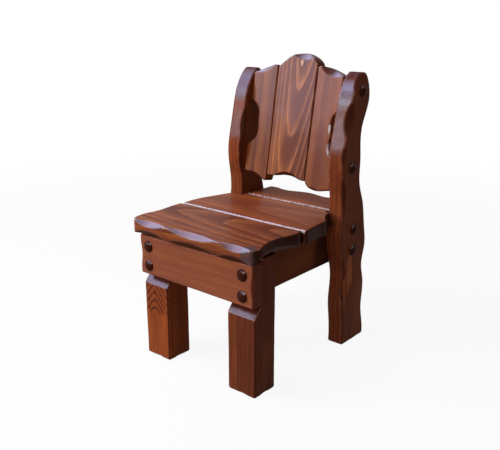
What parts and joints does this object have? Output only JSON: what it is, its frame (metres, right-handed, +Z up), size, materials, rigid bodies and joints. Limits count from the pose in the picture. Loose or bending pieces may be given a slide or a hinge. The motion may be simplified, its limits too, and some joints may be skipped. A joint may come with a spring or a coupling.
{
  "type": "child chair",
  "caption": "Rustic wooden child's chair with hewn plank edges, a slatted leaning back, a boarded seat and domed plugs over its screws.",
  "frame": {"origin": "on the floor, at the middle of the chair's width and depth", "axes": "+Z up; -Y towards the front of the chair; +X to the right of someone looking at its front"},
  "size_m": [0.3323, 0.4037, 0.6105],
  "materials": {
    "stained_pine": "satin",
    "plug_wood": "satin",
    "dowel_wood": "matte",
    "screw_steel": "satin"
  },
  "bodies": {
    "root": {"front_leg_left": "stained_pine", "front_leg_right": "stained_pine", "back_post_left": "stained_pine", "back_post_right": "stained_pine", "front_apron": "stained_pine", "side_rail_left": "stained_pine", "side_rail_right": "stained_pine", "rear_rail": "stained_pine", "seat_board_front": "stained_pine", "seat_board_middle": "stained_pine", "seat_board_rear": "stained_pine", "back_slat_left": "stained_pine", "back_slat_centre": "stained_pine", "back_slat_right": "stained_pine", "seat_cleat_left": "stained_pine", "seat_cleat_right": "stained_pine", "apron_plugs": "plug_wood", "post_plugs_left": "plug_wood", "post_plugs_right": "plug_wood", "apron_screws": "screw_steel", "rail_screws": "screw_steel", "slat_screws": "screw_steel", "cleat_screws": "screw_steel", "seat_screws": "screw_steel", "rail_dowels": "dowel_wood", "slat_dowels": "dowel_wood", "front_seat_dowels": "dowel_wood", "rear_seat_dowels": "dowel_wood"}
  },
  "joints": []
}
